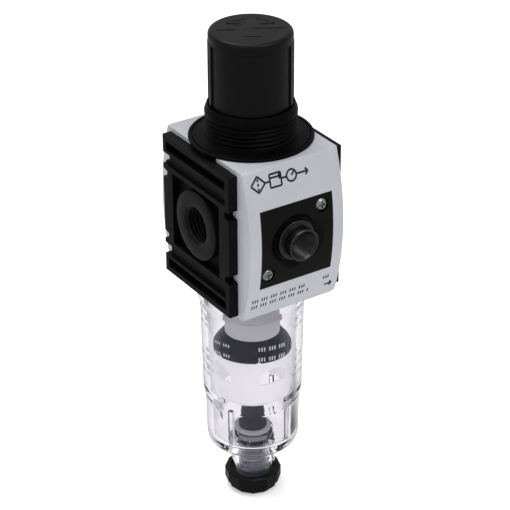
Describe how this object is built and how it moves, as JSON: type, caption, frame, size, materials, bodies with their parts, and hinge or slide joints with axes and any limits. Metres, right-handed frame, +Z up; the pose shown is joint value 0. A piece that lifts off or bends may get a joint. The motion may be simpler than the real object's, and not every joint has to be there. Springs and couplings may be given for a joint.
{
  "type": "filter regulator",
  "caption": "Compressed-air filter regulator with ported housing, clear bayonet bowl, turnable drain, gauge connection and push-to-lock pressure setting knob.",
  "frame": {"origin": "centre of the threaded neck's base, on the flange face around it", "axes": "+Z up along the neck and knob; air flows from the inlet on -X to the outlet on +X; the gauge side faces -Y"},
  "size_m": [0.0432, 0.0573, 0.1719],
  "materials": {
    "black_housing": "fine moulded grain, satin",
    "grey_cover": "light grey satin moulding",
    "black_plate": "smooth black, slight gloss",
    "zinc_screw": "bright zinc plating",
    "black_zinc": "die-cast zinc, black, satin",
    "seal_rubber": "nitrile, matte",
    "black_rubber": "nitrile, satin",
    "black_bonnet": "glass-filled plastic, satin",
    "zinc_steel": "zinc plated",
    "white_acetal": "natural acetal",
    "spring_steel": "drawn spring wire",
    "brass": "turned brass",
    "black_knob": "fine grain, satin",
    "sintered_filter": "sintered, open pores",
    "grey_cap": "smooth moulding",
    "dark_baffle": "dark blue-black moulding",
    "frosted_cup": "frosted translucent moulding",
    "clear_bowl": "clear polycarbonate, faint lavender tint",
    "smoked_plastic": "smoke grey moulding"
  },
  "bodies": {
    "body": {"housing": "black_housing", "front_cover": "grey_cover", "rear_cover": "grey_cover", "gauge_plate": "black_plate", "gauge_plate_screws": "zinc_screw", "gauge_adapter": "black_zinc", "gauge_adapter_seal": "seal_rubber", "inlet_bushing": "black_zinc", "outlet_bushing": "black_zinc", "bushing_seals": "seal_rubber", "bonnet": "black_bonnet", "diaphragm": "seal_rubber", "range_spring": "spring_steel", "spindle_washer": "white_acetal", "valve_seat": "brass", "poppet_spring": "spring_steel", "poppet_guide": "white_acetal", "poppet_oring": "seal_rubber", "air_guide": "white_acetal", "filter_element": "sintered_filter", "element_cap": "grey_cap", "baffle": "dark_baffle", "quiet_cup": "frosted_cup"},
    "spindle": {"adjusting_spindle": "zinc_steel", "spindle_clip": "spring_steel"},
    "knob": {"knob": "black_knob"},
    "spring_nut": {"spring_nut": "brass"},
    "sensing": {"diaphragm_plate": "zinc_steel", "relief_hub": "brass"},
    "valve": {"poppet": "brass", "poppet_seal": "seal_rubber"},
    "bowl": {"bowl": "clear_bowl", "bowl_seal": "seal_rubber", "drain_body": "frosted_cup", "drain_body_oring": "seal_rubber", "drain_spring": "spring_steel"},
    "drain_valve": {"drain_seal": "black_rubber", "drain_head": "black_rubber"},
    "drain_knob": {"drain_stem": "smoked_plastic", "drain_knob": "black_knob"}
  },
  "joints": [
    {"name": "knob_turn", "type": "hinge", "parent": "body", "child": "spindle", "pos_m": [0, 0, 0.02], "axis": [0, 0, 1], "range_deg": [-1440, 0]},
    {"name": "knob_lock", "type": "slide", "parent": "spindle", "child": "knob", "axis": [0, 0, 1], "range_m": [-0.002, 0]},
    {"name": "nut_travel", "type": "slide", "parent": "body", "child": "spring_nut", "axis": [0, 0, 1], "range_m": [-0.006, 0], "deforming": ["range_spring"]},
    {"name": "diaphragm_stroke", "type": "slide", "parent": "body", "child": "sensing", "axis": [0, 0, 1], "range_m": [-0.0015, 0], "deforming": ["diaphragm"]},
    {"name": "poppet_lift", "type": "slide", "parent": "body", "child": "valve", "axis": [0, 0, 1], "range_m": [-0.0015, 0], "deforming": ["poppet_spring"]},
    {"name": "bowl_turn", "type": "hinge", "parent": "body", "child": "bowl", "pos_m": [0, 0, -0.0475], "axis": [0, 0, 1], "range_deg": [0, 40]},
    {"name": "drain_lift", "type": "slide", "parent": "bowl", "child": "drain_valve", "axis": [0, 0, 1], "range_m": [0, 0.002], "deforming": ["drain_spring"]},
    {"name": "drain_turn", "type": "hinge", "parent": "drain_valve", "child": "drain_knob", "pos_m": [0, 0, -0.1325], "axis": [0, 0, 1], "range_deg": [0, 90]}
  ],
  "couplings": [
    {"joint": "nut_travel", "follows": "knob_turn", "m_per_rad": 0.00023873},
    {"joint": "poppet_lift", "follows": "diaphragm_stroke", "ratio": 1},
    {"joint": "drain_lift", "follows": "drain_turn", "m_per_rad": 0.0012732}
  ]
}
